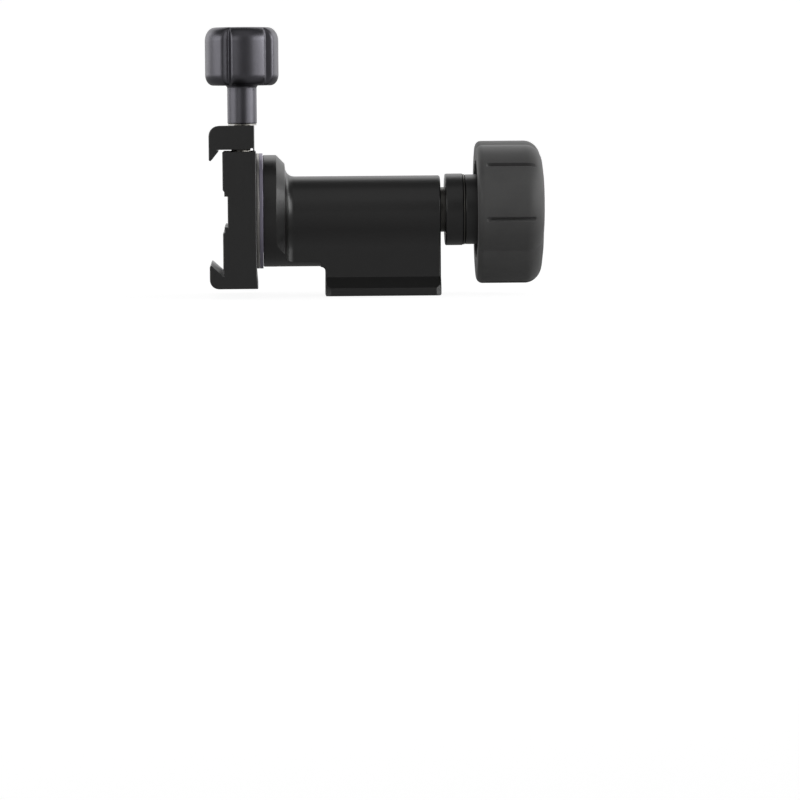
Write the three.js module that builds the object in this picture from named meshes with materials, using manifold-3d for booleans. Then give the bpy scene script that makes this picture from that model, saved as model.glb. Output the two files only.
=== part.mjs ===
// Gimbal tripod head in millimetres, +Z up.
// The origin is the middle of the foot's underside. The tilt axis runs along X.
import * as THREE from "three";
import { mergeVertices } from "three/addons/utils/BufferGeometryUtils.js";
import Module from "manifold-3d";

const wasm = await Module();
wasm.setup();

// Counts of facets and turns
const roundSides = 48;
const smallSides = 24;
const arcSteps = 6;
const springTurns = 5;
const springStepsPerTurn = 8;
const springSides = 5;
const hexSides = 6;

// Clearances and the overrun of cutting tools
const runningGap = 0.1;
const seatGap = 0.1;
const boltClearance = 0.2;
const stopGap = 0.3;
const headClearance = 0.4;
const overrun = 3;

// Housing: foot, web, barrel and flange in one piece
const axisHeight = 26.5;
const barrelRadius = 10.7;
const flangeRadius = 17.45;
const flangeFaceX = -37.26;
const flangeRimLength = 4.1;
const flangeChamferLength = 2.65;
const flangeChamferDepth = 2.7;
const flangeStepLength = 0.15;
const flangeFillet = 2.9;
const flangeEdgeBreak = 0.4;
const blockLength = 35.9;
const blockEdgeBreak = 0.6;
const webHalfWidth = 7.1;
const webFillet = 12;
const webBoundaryFillet = 1.6;
const footHalfWidth = 11.2;
const footSideHeight = 2.4;
const footSlopeHeight = 3.5;
const footEdgeBreak = 0.4;
const footCornerChamfer = 1.5;

// Axle, its plate and the bushes
const axleRadius = 7;
const axlePlateRadius = 18;
const axlePlateThickness = 0.85;
const axleHeadRadius = 13;
const axleHeadLength = 5;
const axleEdgeBreak = 0.3;
const axleThreadRadius = 6;
const frictionRingThickness = 0.95;
const frictionRingInnerRadius = 13.4;
const bushWall = 1.5;
const bushLength = 12.5;
const bushFlangeRadius = 10;
const bushFlangeThickness = 1;
const rearBushSetback = 0.3;

// Lock collar, its key and the thrust washer
const neckLength = 1.55;
const collarLength = 5.45;
const collarRadius = 11.2;
const collarEdgeBreak = 0.5;
const thrustWasherThickness = 0.55;
const thrustWasherRadius = 11;
const keyWidth = 2;
const keyLength = 3.4;
const keyDepth = 1;
const keyRise = 1.2;

// Large knob
const hubNeckLength = 3.1;
const hubRadius = 10.9;
const hubFlangeRadius = 14;
const hubFlangeLength = 11.5;
const hubFlangeSetback = 4;
const hubFrontLength = 3;
const hubRecessRadius = 9;
const hubRecessDepth = 7.9;
const gripLength = 21.2;
const lobeRadius = 18.2;
const lobeOffset = 5;
const lobeCount = 3;
const firstLobeAngle = -21.5;
const gripBackInset = 1.9;
const gripBackCurve = 1.9;
const gripFrontCurve = 5.2;
const gripFrontInset = 5.8;
const gripFrontTurn = 10;
const gripDomeHeight = 0.4;
const gripDomeInset = 8.6;
const gripRecessRadius = 15.3;
const gripRecessDepth = 2.5;
const gripGrooveWidth = 0.95;
const gripGrooveDepth = 0.7;
const gripGrooveAngle = 22.5;
const gripGrooveTurn = 6.2;
const gripGrooveStart = 3.7;
const gripGrooveLength = 14.6;
const capRadius = 11.1;
const capThickness = 2.1;
const capCrown = 0.3;
const capEdgeBreak = 0.3;
const knobTravelOut = 2.1;
const retainingWasherRadius = 8;
const retainingWasherThickness = 1.2;
const retainingScrewRadius = 2.5;
const retainingHeadRadius = 4.4;
const retainingHeadHeight = 2.4;
const retainingScrewLength = 12;
const retainingSocketRadius = 1.7;
const retainingSocketDepth = 1.3;

// Clamp body, an outline in X and Z carried along Y
const clampLength = 60;
const clampThickness = 10.3;
const clampBelowAxis = 23.35;
const clampAboveAxis = 18.7;
const hookReach = 4.15;
const lowerHookTipHeight = 7.25;
const lowerHookRootHeight = 3.95;
const hookTipWidth = 0.4;
const bedReliefWidth = 1.8;
const bedReliefDepth = 0.12;
const hookCornerRadius = 2.8;
const clampEdgeBreak = 0.3;
const clampFlare = 0.4;
const clampFlareHeight = 5;
const faceGrooveWidth = 9.4;
const faceGrooveRise = 0.3;
const faceGrooveDepth = 1.5;
const faceLeadWidth = 1.4;
const faceLeadSlope = 0.6;
const faceLeadDepth = 0.5;

// Clamp bolt and dowels
const boltRadius = 3;
const boltLength = 14;
const boltHeadRadius = 5;
const boltHeadHeight = 5;
const boltHeadSink = 0.3;
const boltSocketRadius = 2.6;
const boltSocketDepth = 3;
const dowelRadius = 1.5;
const dowelLength = 8.6;
const dowelSpacing = 19;
const dowelReach = 4.2;

// Moving jaw and its guide pins, springs and screw
const jawGap = 0.6;
const jawHeight = 7.35;
const jawSetback = 0.45;
const jawCornerRadius = 3.1;
const jawHookDrop = 3.5;
const jawHookStep = 0.8;
const jawHookRootReach = 1.6;
const heelWidth = 0.8;
const heelGap = 0.3;
const reliefRadius = 0.45;
const reliefTurn = 330;
const pinRadius = 2.7;
const pinEndDistance = 11;
const pinLength = 22;
const pinOffset = 0.3;
const pinSetIn = 4.8;
const pinEdgeBreak = 0.4;
const springLength = 7.6;
const springWireRadius = 0.4;
const springOuterRadius = 2.5;
const screwRadius = 2.5;
const screwEngagement = 10.8;
const screwFootGap = 1.1;

// Small knob with its stem and washer
const clampWasherRadius = 4.5;
const clampWasherThickness = 0.3;
const stemRadius = 4.6;
const stemLength = 12;
const stemFillet = 0.8;
const stemEdgeBreak = 0.3;
const screwGripLength = 8.5;
const smallKnobRadius = 11.5;
const smallKnobHeight = 18.05;
const smallKnobOffset = 0.96;
const smallKnobTopEdge = 3.9;
const smallKnobLowEdge = 3.2;
const smallKnobLobes = 5;
const smallKnobFirstLobe = 11;
const smallKnobNotchRadius = 1.6;
const smallKnobNotchIn = 0.8;
const smallKnobUnderRecess = 1.2;
const smallKnobUnderRadius = 7.6;

// Threaded insert in the foot
const tripodThreadRadius = 4.76;
const insertWall = 1.4;
const insertLength = 11.5;
const insertSetback = 0.2;
const socketDepth = 12;

// Places along the tilt axis
const blockHalf = blockLength / 2;
const frictionRingRightX = flangeFaceX - runningGap;
const frictionRingLeftX = frictionRingRightX - frictionRingThickness;
const axlePlateRightX = frictionRingLeftX - seatGap;
const axlePlateLeftX = axlePlateRightX - axlePlateThickness;
const axleHeadRightX = axlePlateRightX + axleHeadLength;
const clampRightX = axlePlateLeftX - seatGap;
const clampFaceX = clampRightX - clampThickness;
const hookLeftX = clampFaceX - hookReach;
const grooveFloorX = clampFaceX + faceGrooveDepth;
const collarLeftX = blockHalf + neckLength;
const collarRightX = collarLeftX + collarLength;
const knobTravelIn = neckLength - stopGap;
const washerLeftX = collarRightX + seatGap;
const washerRightX = washerLeftX + thrustWasherThickness;
const hubLeftX = washerRightX + seatGap;
const gripLeftX = hubLeftX + hubNeckLength;
const gripRightX = gripLeftX + gripLength;
const hubFlangeLeftX = gripLeftX + hubFlangeSetback;
const hubFlangeRightX = hubFlangeLeftX + hubFlangeLength;
const hubRightX = hubFlangeRightX + hubFrontLength;
const hubRecessFloorX = hubRightX - hubRecessDepth;
const axleRightX = hubRecessFloorX + knobTravelOut + stopGap;
const journalRightX = hubLeftX - knobTravelIn - stopGap;
const retainingWasherLeftX = axleRightX + seatGap;
const retainingWasherRightX = retainingWasherLeftX + retainingWasherThickness;
const retainingHeadLeftX = retainingWasherRightX + seatGap;
const retainingHeadRightX = retainingHeadLeftX + retainingHeadHeight;
const capLeftX = hubRightX + seatGap;
const bushOuterRadius = axleRadius + runningGap + bushWall;
const bearingBoreRadius = bushOuterRadius + seatGap;
const headBoreRadius = axleHeadRadius + headClearance;
const headBoreRightX = axleHeadRightX + stopGap;
const frontBushLeftX = headBoreRightX + seatGap;
const rearBushRightX = blockHalf - rearBushSetback;
const keywayLeftX = collarLeftX + seatGap;
const keyLeftX = keywayLeftX + seatGap;
const boltHeadLeftX = grooveFloorX + boltHeadSink;
const boltHeadRightX = boltHeadLeftX + boltHeadHeight;
const boltRightX = boltHeadRightX + boltLength;
const dowelRightX = clampRightX + dowelReach;
const dowelLeftX = dowelRightX - dowelLength;

// Places of the clamp's vertical pieces
const clampBottom = axisHeight - clampBelowAxis;
const clampTop = axisHeight + clampAboveAxis;
const clampMiddleX = (clampFaceX + clampRightX) / 2;
const jawRightX = clampRightX - jawSetback;
const jawBottom = clampTop + jawGap;
const jawTop = jawBottom + jawHeight;
const smallKnobX = clampMiddleX + smallKnobOffset;
const pinX = clampMiddleX + pinOffset;
const pinY = clampLength / 2 - pinEndDistance;
const pinTop = jawBottom + pinSetIn;
const pinBottom = pinTop - pinLength;
const springTop = pinBottom - seatGap;
const springBottom = springTop - springLength;
const pinBoreBottom = springBottom - seatGap;
const washerBottom = jawTop + seatGap;
const washerTop = washerBottom + clampWasherThickness;
const stemBottom = washerTop + seatGap;
const smallKnobBottom = stemBottom + stemLength;
const smallKnobTop = smallKnobBottom + smallKnobHeight;
const screwTop = stemBottom + screwGripLength;
const screwBottom = clampTop - screwEngagement;
const screwHoleBottom = screwBottom - screwFootGap;

// Geometry helpers

// A closed list of points, counter-clockwise
function counterClockwise(points) {
  return THREE.ShapeUtils.isClockWise(points) ? [...points].reverse() : points;
}

// Points of an arc round (cx, cy) between two angles in degrees, ends included
function arc(cx, cy, radius, from, to, steps = arcSteps) {
  return Array.from({ length: steps + 1 }, (_, i) => {
    const angle = THREE.MathUtils.degToRad(from + ((to - from) * i) / steps);
    return new THREE.Vector2(cx + radius * Math.cos(angle), cy + radius * Math.sin(angle));
  });
}

// An outline moved outwards by a distance, corner by corner
function grow(points, distance) {
  const normal = (a, b) => new THREE.Vector2(b.y - a.y, a.x - b.x).normalize();
  return points.map((point, i) => {
    const before = normal(points.at(i - 1), point);
    const after = normal(point, points[(i + 1) % points.length]);
    const sum = before.clone().add(after);
    return sum.multiplyScalar(distance / (1 + before.dot(after))).add(point);
  });
}

// A closed mesh whose shared vertices are merged, as a solid for cutting and joining
function solid(geometry) {
  const plain = geometry.clone();
  plain.deleteAttribute("normal");
  plain.deleteAttribute("uv");
  const merged = mergeVertices(plain);
  const index = merged.index.array;
  const triangles = [];
  for (let i = 0; i < index.length; i += 3) {
    const [a, b, c] = [index[i], index[i + 1], index[i + 2]];
    if (a !== b && b !== c && c !== a) triangles.push(a, b, c);
  }
  return new wasm.Manifold(new wasm.Mesh({
    numProp: 3,
    vertProperties: new Float32Array(merged.attributes.position.array),
    triVerts: new Uint32Array(triangles),
  }));
}

function geometryOf(manifold) {
  const mesh = manifold.getMesh();
  const geometry = new THREE.BufferGeometry();
  geometry.setAttribute("position", new THREE.BufferAttribute(mesh.vertProperties, 3));
  geometry.setIndex(new THREE.BufferAttribute(mesh.triVerts, 1));
  geometry.computeVertexNormals();
  return geometry;
}

function cut(geometry, ...tools) {
  return geometryOf(tools.reduce((rest, tool) => rest.subtract(solid(tool)), solid(geometry)));
}

function join(geometry, ...others) {
  return geometryOf(others.reduce((sum, other) => sum.add(solid(other)), solid(geometry)));
}

function common(geometry, other) {
  return geometryOf(solid(geometry).intersect(solid(other)));
}

// A turned piece: pairs of place along the axis and radius, in order round the section
function turned(pairs, sides) {
  const section = pairs.map(([along, radius]) => new THREE.Vector2(radius, along));
  const points = counterClockwise(section);
  const meetsAxis = points.some((point) => point.x === 0);
  const start = meetsAxis ? points.findIndex((p, i) => p.x === 0 && points.at(i - 1).x === 0) : 0;
  const ordered = [...points.slice(start), ...points.slice(0, start)];
  return new THREE.LatheGeometry(meetsAxis ? ordered : [...ordered, ordered[0]], sides);
}

function turnedX(pairs, sides = roundSides, height = axisHeight) {
  return turned(pairs, sides).rotateZ(-Math.PI / 2).translate(0, 0, height);
}

function turnedZ(pairs, x, y, sides = smallSides) {
  return turned(pairs, sides).rotateX(Math.PI / 2).translate(x, y, 0);
}

// The section of a solid rod or a ring between two places
function rod(from, to, radius) {
  return [[from, 0], [to, 0], [to, radius], [from, radius]];
}

function ring(from, to, inner, outer) {
  return [[from, inner], [to, inner], [to, outer], [from, outer]];
}

function rodWithBrokenEdges(from, to, radius, edge) {
  return [[from, 0], [to, 0], [to, radius - edge], [to - edge, radius], [from + edge, radius],
    [from, radius - edge]];
}

// An outline in X and Z carried along Y, centred on the X-Z plane
function prismY(points, length) {
  const shape = new THREE.Shape(counterClockwise(points));
  const geometry = new THREE.ExtrudeGeometry(shape, { depth: length, bevelEnabled: false });
  return geometry.translate(0, 0, -length / 2).rotateX(Math.PI / 2);
}

// A closed skin through outlines of equal length, each at its own place along X
function loftX(stations) {
  const count = stations[0].outline.length;
  const corners = [];
  for (const { x, outline } of stations) {
    for (const point of outline) corners.push(x, point.x, point.y);
  }
  const faces = [];
  for (let s = 0; s + 1 < stations.length; s += 1) {
    for (let i = 0; i < count; i += 1) {
      const a = s * count + i;
      const b = s * count + ((i + 1) % count);
      faces.push(a, b, b + count, a, b + count, a + count);
    }
  }
  const last = (stations.length - 1) * count;
  const startFaces = THREE.ShapeUtils.triangulateShape(stations[0].outline, []);
  const endFaces = THREE.ShapeUtils.triangulateShape(stations.at(-1).outline, []);
  for (const [a, b, c] of startFaces) faces.push(a, c, b);
  for (const [a, b, c] of endFaces) faces.push(last + a, last + b, last + c);
  const geometry = new THREE.BufferGeometry();
  geometry.setAttribute("position", new THREE.Float32BufferAttribute(corners, 3));
  geometry.setIndex(faces);
  geometry.computeVertexNormals();
  return geometry;
}

function box(fromX, toX, fromY, toY, fromZ, toZ) {
  const geometry = new THREE.BoxGeometry(toX - fromX, toY - fromY, toZ - fromZ);
  return geometry.translate((fromX + toX) / 2, (fromY + toY) / 2, (fromZ + toZ) / 2);
}

const head = new THREE.Group();

function piece(name, geometry, color, roughness, metalness) {
  const mesh = new THREE.Mesh(geometry, new THREE.MeshStandardMaterial({ color, roughness, metalness }));
  mesh.name = name;
  head.add(mesh);
}

// Finishes
const black = [0x1d1d1c, 0.42, 0.6];
const lavender = [0x716f78, 0.35, 0.8];
const steel = [0xb9b6ae, 0.28, 1];
const bronze = [0xa37a45, 0.4, 1];
const rubber = [0x4a4a49, 0.75, 0];

// Housing

// The barrel with its web below, as seen along the axis. The web runs on past the foot.
function barrelAndWeb(bottom) {
  const reach = webHalfWidth + webFillet;
  const drop = Math.sqrt((barrelRadius + webFillet) ** 2 - reach ** 2);
  const tangent = THREE.MathUtils.radToDeg(Math.atan2(drop, reach));
  const right = arc(reach, -drop, webFillet, 180, 180 - tangent);
  const top = arc(0, 0, barrelRadius, -tangent, 180 + tangent, roundSides / 2);
  const left = arc(-reach, -drop, webFillet, tangent, 0);
  return [new THREE.Vector2(webHalfWidth, bottom), ...right, ...top.slice(1, -1), ...left,
    new THREE.Vector2(-webHalfWidth, bottom)];
}

const lifted = (outline) => outline.map((point) => new THREE.Vector2(point.x, point.y + axisHeight));

function housingGeometry() {
  const web = barrelAndWeb(-flangeRadius - overrun);
  const rimRightX = flangeFaceX + flangeRimLength;
  const chamferRightX = rimRightX + flangeChamferLength;
  const stepX = chamferRightX + flangeStepLength;
  const rise = flangeRadius - barrelRadius;
  const loftLeftX = flangeFaceX + flangeEdgeBreak;
  const slope = flangeChamferDepth / flangeChamferLength;
  const stations = [[loftLeftX, rise + (rimRightX - loftLeftX) * slope],
    [chamferRightX, rise - flangeChamferDepth]];
  for (const point of arc(flangeFillet, flangeFillet, flangeFillet, 180, 270)) {
    stations.push([stepX + point.x, point.y]);
  }
  stations.push([-blockHalf, 0], [overrun - blockHalf, -blockEdgeBreak]);
  const loft = loftX(stations.map(([x, offset]) => ({ x, outline: lifted(grow(web, offset)) })));
  const flangeSide = turnedX(rod(flangeFaceX, 0, flangeRadius));
  const neck = common(loft, flangeSide);
  const rim = turnedX([[flangeFaceX, 0], [rimRightX, 0], [rimRightX, flangeRadius],
    [flangeFaceX + flangeEdgeBreak, flangeRadius], [flangeFaceX, flangeRadius - flangeEdgeBreak]]);

  const footTop = footSideHeight + footSlopeHeight;
  const above = barrelAndWeb(footTop - axisHeight);
  const rightFoot = [[footHalfWidth - footEdgeBreak, 0], [footHalfWidth, footEdgeBreak],
    [footHalfWidth, footSideHeight], [webHalfWidth, footTop]]
    .map(([y, z]) => new THREE.Vector2(y, z - axisHeight));
  const leftFoot = rightFoot.map((point) => new THREE.Vector2(-point.x, point.y)).reverse();
  const blockOutline = [...rightFoot, ...above.slice(1, -1), ...leftFoot];
  const small = lifted(grow(blockOutline, -blockEdgeBreak));
  small.forEach((point) => { point.y = Math.max(point.y, 0); });
  const full = lifted(blockOutline);
  const block = loftX([{ x: -blockHalf, outline: full }, { x: blockHalf - blockEdgeBreak, outline: full },
    { x: blockHalf, outline: small }]);

  const keelBottom = axisHeight - flangeRadius;
  const boundary = [new THREE.Vector2(overrun - blockHalf, keelBottom + webBoundaryFillet),
    new THREE.Vector2(-blockHalf - webBoundaryFillet, keelBottom + webBoundaryFillet),
    ...arc(-blockHalf - webBoundaryFillet, keelBottom - webBoundaryFillet, webBoundaryFillet, 90, 0),
    new THREE.Vector2(overrun - blockHalf, keelBottom - webBoundaryFillet)];
  const corner = prismY(boundary, webHalfWidth * 2);
  const body = join(rim, neck, block, corner);

  const cornerTools = [];
  for (const sideX of [-1, 1]) {
    for (const sideY of [-1, 1]) {
      const x = sideX * blockHalf;
      const y = sideY * footHalfWidth;
      const shape = new THREE.Shape([new THREE.Vector2(x - sideX * footCornerChamfer, y),
        new THREE.Vector2(x, y - sideY * footCornerChamfer),
        new THREE.Vector2(x + sideX * overrun, y - sideY * footCornerChamfer),
        new THREE.Vector2(x + sideX * overrun, y + sideY * overrun),
        new THREE.Vector2(x - sideX * footCornerChamfer, y + sideY * overrun)]);
      const depth = footTop + overrun;
      cornerTools.push(new THREE.ExtrudeGeometry(shape, { depth, bevelEnabled: false })
        .translate(0, 0, -overrun));
    }
  }
  const headBore = turnedX(rod(flangeFaceX - overrun, headBoreRightX, headBoreRadius));
  const bushFlangeBore = turnedX(rod(headBoreRightX - overrun,
    frontBushLeftX + bushFlangeThickness + seatGap, bushFlangeRadius + seatGap));
  const bearingBore = turnedX(rod(headBoreRightX, blockHalf + overrun, bearingBoreRadius));
  const socket = turnedZ(rod(-overrun, socketDepth, tripodThreadRadius + insertWall + seatGap), 0, 0);
  return cut(body, ...cornerTools, headBore, bushFlangeBore, bearingBore, socket);
}

piece("housing", housingGeometry(), ...black);

// Bushes pressed into the housing's bore
const bushBore = axleRadius + runningGap;
piece("front_bush", turnedX([[frontBushLeftX, bushBore], [frontBushLeftX, bushFlangeRadius],
  [frontBushLeftX + bushFlangeThickness, bushFlangeRadius],
  [frontBushLeftX + bushFlangeThickness, bushOuterRadius],
  [frontBushLeftX + bushLength, bushOuterRadius], [frontBushLeftX + bushLength, bushBore]]), ...bronze);
piece("rear_bush", turnedX(ring(rearBushRightX - bushLength, rearBushRightX, bushBore, bushOuterRadius)),
  ...bronze);

// Threaded insert in the foot
piece("base_insert", turnedZ(ring(insertSetback, insertSetback + insertLength, tripodThreadRadius,
  tripodThreadRadius + insertWall), 0, 0), ...steel);

// Axle with its plate, head, journal and threaded end
function axleGeometry() {
  const body = turnedX([[axlePlateLeftX, 0], [axleRightX, 0],
    [axleRightX, axleThreadRadius - axleEdgeBreak], [axleRightX - axleEdgeBreak, axleThreadRadius],
    [journalRightX, axleThreadRadius], [journalRightX, axleRadius], [axleHeadRightX, axleRadius],
    [axleHeadRightX, axleHeadRadius], [axlePlateRightX, axleHeadRadius],
    [axlePlateRightX, axlePlateRadius], [axlePlateLeftX, axlePlateRadius]]);
  const boltBore = turnedX(rod(axlePlateLeftX - overrun, boltRightX + stopGap, boltRadius + runningGap),
    smallSides);
  const screwBore = turnedX(rod(retainingHeadLeftX - retainingScrewLength - stopGap, axleRightX + overrun,
    retainingScrewRadius + runningGap), smallSides);
  const dowelBores = [-1, 1].map((side) => turnedX(rod(axlePlateLeftX - overrun,
    dowelRightX + seatGap, dowelRadius + runningGap), smallSides)
    .translate(0, (side * dowelSpacing) / 2, 0));
  const keyway = box(keywayLeftX, journalRightX + overrun, axleRadius - keyDepth,
    axleRadius + overrun, axisHeight - keyWidth / 2 - seatGap, axisHeight + keyWidth / 2 + seatGap);
  return cut(body, boltBore, screwBore, ...dowelBores, keyway);
}

piece("axle", axleGeometry(), ...steel);
piece("friction_ring", turnedX(ring(frictionRingLeftX, frictionRingRightX, frictionRingInnerRadius,
  axlePlateRadius)), ...lavender);
piece("collar_key", box(keyLeftX, keyLeftX + keyLength, axleRadius - keyDepth + seatGap,
  axleRadius + keyRise, axisHeight - keyWidth / 2, axisHeight + keyWidth / 2), ...steel);

// Lock collar and thrust washer, which slide on the axle
function collarGeometry() {
  const body = turnedX([[collarLeftX, axleRadius + runningGap], [collarRightX, axleRadius + runningGap],
    [collarRightX, collarRadius], [collarLeftX + collarEdgeBreak, collarRadius],
    [collarLeftX, collarRadius - collarEdgeBreak]]);
  const slot = box(collarLeftX - overrun, collarRightX + overrun, 0, axleRadius + keyRise + seatGap,
    axisHeight - keyWidth / 2 - seatGap, axisHeight + keyWidth / 2 + seatGap);
  return cut(body, slot);
}

piece("lock_collar", collarGeometry(), ...black);
piece("thrust_washer", turnedX(ring(washerLeftX, washerRightX, axleRadius + runningGap,
  thrustWasherRadius)), ...steel);

// Large knob: hub on the axle's thread, grip moulded round it, cap in front

// How far a lobe, an arc centred off the axis, reaches at an angle from its middle
function lobeReach(turn) {
  return lobeOffset * Math.cos(turn) + Math.sqrt(lobeRadius ** 2 - (lobeOffset * Math.sin(turn)) ** 2);
}

const lobeMiddle = (lobe) => 180 + firstLobeAngle + (lobe * 360) / lobeCount;

function gripOutline() {
  const steps = roundSides / lobeCount;
  const half = 180 / lobeCount;
  return Array.from({ length: steps * lobeCount }, (_, i) => {
    const lobe = Math.floor(i / steps);
    const turn = THREE.MathUtils.degToRad(-half + ((i % steps) * 2 * half) / steps);
    const radius = lobeReach(turn);
    const angle = turn + THREE.MathUtils.degToRad(lobeMiddle(lobe));
    return new THREE.Vector2(radius * Math.cos(angle), radius * Math.sin(angle));
  });
}

function hubFlange(gap) {
  return turnedX(rod(hubFlangeLeftX - gap, hubFlangeRightX + gap, hubFlangeRadius + gap), lobeCount * 2);
}

function gripGeometry() {
  const outline = gripOutline();
  const shape = (inset) => lifted(grow(outline, -inset));
  const stations = [];
  for (const point of arc(0, 0, 1, 180, 90, arcSteps / 2)) {
    const outline = shape(gripBackInset * (1 - point.y));
    stations.push({ x: gripLeftX + gripBackCurve * (1 + point.x), outline });
  }
  const domeX = gripRightX - gripDomeHeight;
  for (const point of arc(0, 0, 1, 90, gripFrontTurn, arcSteps)) {
    const outline = shape(gripFrontInset * (1 - point.y));
    stations.push({ x: domeX - gripFrontCurve * (1 - point.x), outline });
  }
  stations.push({ x: gripRightX, outline: shape(gripDomeInset) });
  const body = loftX(stations);

  const tools = [turnedX(rod(gripLeftX - overrun, gripRightX + overrun, hubRadius + seatGap)),
    turnedX(rod(gripLeftX - overrun, gripLeftX + gripRecessDepth, gripRecessRadius)),
    turnedX(rod(capLeftX, gripRightX + overrun, capRadius + seatGap)), hubFlange(seatGap)];
  for (let lobe = 0; lobe < lobeCount; lobe += 1) {
    for (const side of [-1, 1]) {
      const turn = gripGrooveTurn + side * gripGrooveAngle;
      const angle = THREE.MathUtils.degToRad(lobeMiddle(lobe) + turn);
      const radius = lobeReach(THREE.MathUtils.degToRad(turn));
      const groove = box(gripLeftX + gripGrooveStart, gripLeftX + gripGrooveStart + gripGrooveLength,
        radius - gripGrooveDepth, radius + overrun, -gripGrooveWidth / 2, gripGrooveWidth / 2);
      tools.push(groove.rotateX(angle).translate(0, 0, axisHeight));
    }
  }
  return cut(body, ...tools);
}

function hubGeometry() {
  const body = turnedX(rod(hubLeftX, hubRightX, hubRadius));
  const bore = turnedX(rod(hubLeftX - overrun, hubRightX + overrun, axleThreadRadius + runningGap));
  const recess = turnedX(rod(hubRecessFloorX, hubRightX + overrun, hubRecessRadius));
  return cut(join(body, hubFlange(0)), bore, recess);
}

function capGeometry() {
  const rightX = capLeftX + capThickness;
  return turnedX([[capLeftX, 0], [rightX + capCrown, 0], [rightX, capRadius - capEdgeBreak],
    [rightX - capEdgeBreak, capRadius], [capLeftX, capRadius]]);
}

piece("knob_hub", hubGeometry(), ...black);
piece("knob_grip", gripGeometry(), ...rubber);
piece("knob_cap", capGeometry(), ...rubber);

// Washer and screw that keep the knob on the axle
piece("retaining_washer", turnedX(ring(retainingWasherLeftX, retainingWasherRightX,
  retainingScrewRadius + runningGap, retainingWasherRadius), smallSides), ...steel);
const retainingScrew = turnedX([[retainingHeadLeftX - retainingScrewLength, 0], [retainingHeadRightX, 0],
  [retainingHeadRightX, retainingHeadRadius], [retainingHeadLeftX, retainingHeadRadius],
  [retainingHeadLeftX, retainingScrewRadius],
  [retainingHeadLeftX - retainingScrewLength, retainingScrewRadius]], smallSides);
piece("retaining_screw", cut(retainingScrew, turnedX(rod(retainingHeadRightX - retainingSocketDepth,
  retainingHeadRightX + overrun, retainingSocketRadius), hexSides)), ...steel);

// Clamp body with the fixed lower jaw
const pinSides = [-1, 1];

function clampOutline() {
  const at = (x, z) => new THREE.Vector2(x, z);
  const grooveHalf = faceGrooveWidth / 2;
  const leadHalf = grooveHalf + faceLeadWidth;
  const grooveZ = axisHeight + faceGrooveRise;
  const leadX = clampFaceX + faceLeadDepth;
  const tipZ = clampBottom + lowerHookTipHeight;
  const rootZ = clampBottom + lowerHookRootHeight;
  const flareX = clampRightX + clampFlare;
  return [...arc(hookLeftX + hookCornerRadius, clampBottom + hookCornerRadius, hookCornerRadius, 180, 270),
    at(flareX - clampEdgeBreak, clampBottom), at(flareX, clampBottom + clampEdgeBreak),
    at(clampRightX, clampBottom + clampFlareHeight),
    at(clampRightX, clampTop - clampEdgeBreak), at(clampRightX - clampEdgeBreak, clampTop),
    at(clampFaceX + clampEdgeBreak, clampTop), at(clampFaceX, clampTop - clampEdgeBreak),
    at(clampFaceX, grooveZ + leadHalf + faceLeadSlope), at(leadX, grooveZ + leadHalf),
    at(leadX, grooveZ + grooveHalf), at(grooveFloorX, grooveZ + grooveHalf),
    at(grooveFloorX, grooveZ - grooveHalf), at(leadX, grooveZ - grooveHalf),
    at(leadX, grooveZ - leadHalf), at(clampFaceX, grooveZ - leadHalf - faceLeadSlope),
    at(clampFaceX, rootZ + bedReliefWidth), at(clampFaceX + bedReliefDepth, rootZ + bedReliefWidth),
    at(clampFaceX + bedReliefDepth, rootZ), at(clampFaceX, rootZ), at(hookLeftX + hookTipWidth, tipZ),
    at(hookLeftX, tipZ - hookTipWidth)];
}

function clampGeometry() {
  const body = prismY(clampOutline(), clampLength);
  const tools = [
    turnedX(rod(clampFaceX - overrun, boltHeadRightX + seatGap, boltHeadRadius + stopGap), smallSides),
    turnedX(rod(boltHeadRightX - overrun, clampRightX + overrun, boltRadius + boltClearance), smallSides),
    turnedZ(rod(screwHoleBottom, clampTop + overrun, screwRadius + runningGap), smallKnobX, 0)];
  for (const side of pinSides) {
    tools.push(turnedX(rod(dowelLeftX - seatGap, clampRightX + overrun, dowelRadius + runningGap),
      smallSides).translate(0, (side * dowelSpacing) / 2, 0));
    tools.push(turnedZ(rod(pinBoreBottom, clampTop + overrun, pinRadius + runningGap), pinX,
      side * pinY));
  }
  return cut(body, ...tools);
}

piece("clamp_body", clampGeometry(), ...black);

const bolt = turnedX([[boltHeadLeftX, 0], [boltRightX, 0], [boltRightX, boltRadius],
  [boltHeadRightX, boltRadius],
  [boltHeadRightX, boltHeadRadius], [boltHeadLeftX, boltHeadRadius]], smallSides);
piece("clamp_bolt", cut(bolt, turnedX(rod(boltHeadLeftX - overrun, boltHeadLeftX + boltSocketDepth,
  boltSocketRadius), hexSides)), ...steel);
for (const [name, side] of [["front", -1], ["rear", 1]]) {
  piece(`clamp_dowel_${name}`, turnedX(rod(dowelLeftX, dowelRightX, dowelRadius), smallSides)
    .translate(0, (side * dowelSpacing) / 2, 0), ...steel);
}

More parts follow.
